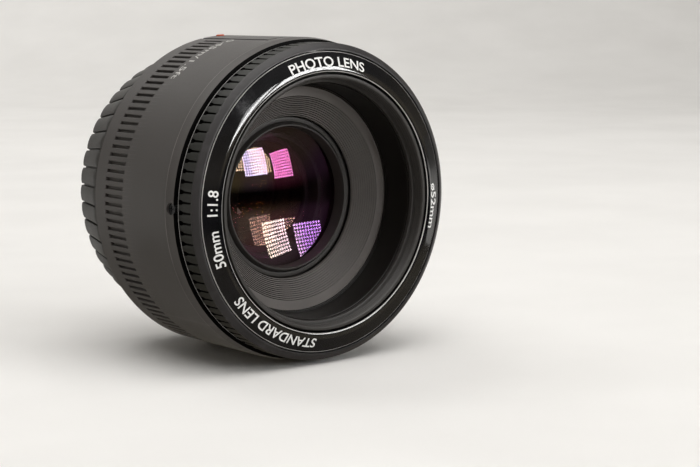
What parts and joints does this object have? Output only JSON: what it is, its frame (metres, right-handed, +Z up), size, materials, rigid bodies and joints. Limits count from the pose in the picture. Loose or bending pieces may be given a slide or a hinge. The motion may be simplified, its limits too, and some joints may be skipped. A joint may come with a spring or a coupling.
{
  "type": "prime camera lens",
  "caption": "Fixed focal length camera lens with ribbed focus ring, filter thread, bayonet mount, working diaphragm, focus drive and rear dust cap.",
  "frame": {"origin": "centre of the bayonet mount's flange face, on the optical axis", "axes": "+Y along the optical axis towards the camera, so the front of the lens faces -Y; +Z up through the mount index dot"},
  "size_m": [0.0689, 0.0507, 0.0682],
  "materials": {
    "barrel_plastic": "satin, fine grain",
    "ring_plastic": "satin ribbed grip",
    "name_ring_gloss": "polished black with white figures",
    "inner_black": "matte",
    "cap_plastic": "satin",
    "index_red": "painted dot",
    "glass": "coated optical glass",
    "mount_metal": "turned",
    "steel": "machined",
    "black_screws": "blackened",
    "blade_steel": "blackened spring steel",
    "gear_plastic": "natural acetal",
    "brass": "gold plated",
    "board_green": "solder mask",
    "chip_black": "moulded"
  },
  "bodies": {
    "barrel": {"main_barrel": "barrel_plastic", "mount_index_dot": "index_red", "retaining_screws": "black_screws", "switch_plate": "barrel_plastic", "guide_sleeve": "mount_metal", "guide_sleeve_screws": "steel", "focus_motor": "steel", "gear_plate": "gear_plastic", "gear_cover": "gear_plastic", "gear_axles": "steel", "gearbox_screws": "steel", "circuit_board": "board_green", "board_chips": "chip_black", "board_screws": "steel", "mount_ring": "mount_metal", "mount_screws": "steel", "contact_block": "inner_black", "contact_pins": "brass", "contact_block_screws": "steel", "light_shield": "inner_black"},
    "focus_ring": {"focus_ring": "ring_plastic", "helicoid_ring": "mount_metal", "focus_ring_screws": "steel"},
    "optical_unit": {"inner_barrel": "inner_black", "name_ring": "name_ring_gloss", "front_baffle": "inner_black", "front_lens_cell": "inner_black", "front_retaining_ring": "inner_black", "element_spacer": "inner_black", "rear_lens_cell": "inner_black", "rear_spacer": "inner_black", "rear_retaining_ring": "inner_black", "lens_element_1": "glass", "lens_element_2": "glass", "lens_element_3": "glass", "lens_element_4": "glass", "lens_element_5": "glass", "lens_element_6": "glass", "diaphragm_housing": "inner_black", "diaphragm_cover": "inner_black", "aperture_motor": "steel", "cam_rollers": "steel"},
    "aperture_ring": {"aperture_ring": "blade_steel"},
    "aperture_pinion": {"aperture_pinion": "gear_plastic"},
    "output_gear": {"output_gear": "gear_plastic"},
    "reduction_gear_2": {"reduction_gear_2": "gear_plastic"},
    "reduction_gear_1": {"reduction_gear_1": "gear_plastic"},
    "motor_pinion": {"motor_pinion": "brass"},
    "switch_knob": {"switch_knob": "barrel_plastic"},
    "rear_cap": {"rear_cap": "cap_plastic"},
    "aperture_blade_1": {"aperture_blade_1": "blade_steel"},
    "aperture_blade_2": {"aperture_blade_2": "blade_steel"},
    "aperture_blade_3": {"aperture_blade_3": "blade_steel"},
    "aperture_blade_4": {"aperture_blade_4": "blade_steel"},
    "aperture_blade_5": {"aperture_blade_5": "blade_steel"},
    "aperture_blade_6": {"aperture_blade_6": "blade_steel"},
    "aperture_blade_7": {"aperture_blade_7": "blade_steel"}
  },
  "joints": [
    {"name": "focus_turn", "type": "hinge", "parent": "barrel", "child": "focus_ring", "pos_m": [0, -0.035, 0], "axis": [0, -1, 0], "range_deg": [0, 100]},
    {"name": "focus_extension", "type": "slide", "parent": "barrel", "child": "optical_unit", "axis": [0, -1, 0], "range_m": [0, 0.0075]},
    {"name": "output_gear_spin", "type": "hinge", "parent": "barrel", "child": "output_gear", "pos_m": [0, 0, -0.02363], "axis": [0, -1, 0], "range_deg": [0, 1000]},
    {"name": "reduction_gear_2_spin", "type": "hinge", "parent": "barrel", "child": "reduction_gear_2", "pos_m": [0.00536, 0, -0.02301], "axis": [0, -1, 0], "range_deg": [-2000, 0]},
    {"name": "reduction_gear_1_spin", "type": "hinge", "parent": "barrel", "child": "reduction_gear_1", "pos_m": [0.01045, 0, -0.02119], "axis": [0, -1, 0], "range_deg": [0, 4000]},
    {"name": "motor_pinion_spin", "type": "hinge", "parent": "barrel", "child": "motor_pinion", "pos_m": [0.01398, 0, -0.01751], "axis": [0, -1, 0], "range_deg": [-9600, 0]},
    {"name": "aperture_turn", "type": "hinge", "parent": "optical_unit", "child": "aperture_ring", "pos_m": [0, -0.0087, 0], "axis": [0, -1, 0], "range_deg": [0, 18]},
    {"name": "aperture_pinion_spin", "type": "hinge", "parent": "optical_unit", "child": "aperture_pinion", "pos_m": [0, -0.0087, 0.02065], "axis": [0, -1, 0], "range_deg": [-88.2, 0]},
    {"name": "aperture_blade_1_swing", "type": "hinge", "parent": "optical_unit", "child": "aperture_blade_1", "pos_m": [0.0157, -0.008, 0], "axis": [0, -1, 0], "range_deg": [0, 28]},
    {"name": "aperture_blade_2_swing", "type": "hinge", "parent": "optical_unit", "child": "aperture_blade_2", "pos_m": [0.00979, -0.008, 0.01227], "axis": [0, -1, 0], "range_deg": [0, 28]},
    {"name": "aperture_blade_3_swing", "type": "hinge", "parent": "optical_unit", "child": "aperture_blade_3", "pos_m": [-0.00349, -0.008, 0.01531], "axis": [0, -1, 0], "range_deg": [0, 28]},
    {"name": "aperture_blade_4_swing", "type": "hinge", "parent": "optical_unit", "child": "aperture_blade_4", "pos_m": [-0.01415, -0.008, 0.00681], "axis": [0, -1, 0], "range_deg": [0, 28]},
    {"name": "aperture_blade_5_swing", "type": "hinge", "parent": "optical_unit", "child": "aperture_blade_5", "pos_m": [-0.01415, -0.008, -0.00681], "axis": [0, -1, 0], "range_deg": [0, 28]},
    {"name": "aperture_blade_6_swing", "type": "hinge", "parent": "optical_unit", "child": "aperture_blade_6", "pos_m": [-0.00349, -0.008, -0.01531], "axis": [0, -1, 0], "range_deg": [0, 28]},
    {"name": "aperture_blade_7_swing", "type": "hinge", "parent": "optical_unit", "child": "aperture_blade_7", "pos_m": [0.00979, -0.008, -0.01227], "axis": [0, -1, 0], "range_deg": [0, 28]},
    {"name": "switch_slide", "type": "slide", "parent": "barrel", "child": "switch_knob", "axis": [0, 1, 0], "range_m": [0, 0.0026]},
    {"name": "rear_cap_pull", "type": "slide", "parent": "barrel", "child": "rear_cap", "axis": [0, 1, 0], "range_m": [0, 0.03]}
  ],
  "couplings": [
    {"joint": "focus_extension", "follows": "focus_turn", "m_per_rad": 0.0042972},
    {"joint": "output_gear_spin", "follows": "focus_turn", "ratio": 10},
    {"joint": "reduction_gear_2_spin", "follows": "focus_turn", "ratio": -20},
    {"joint": "reduction_gear_1_spin", "follows": "focus_turn", "ratio": 40},
    {"joint": "motor_pinion_spin", "follows": "focus_turn", "ratio": -96},
    {"joint": "aperture_pinion_spin", "follows": "aperture_turn", "ratio": -4.9},
    {"joint": "aperture_blade_1_swing", "follows": "aperture_turn", "ratio": 1.5556},
    {"joint": "aperture_blade_2_swing", "follows": "aperture_turn", "ratio": 1.5556},
    {"joint": "aperture_blade_3_swing", "follows": "aperture_turn", "ratio": 1.5556},
    {"joint": "aperture_blade_4_swing", "follows": "aperture_turn", "ratio": 1.5556},
    {"joint": "aperture_blade_5_swing", "follows": "aperture_turn", "ratio": 1.5556},
    {"joint": "aperture_blade_6_swing", "follows": "aperture_turn", "ratio": 1.5556},
    {"joint": "aperture_blade_7_swing", "follows": "aperture_turn", "ratio": 1.5556}
  ]
}
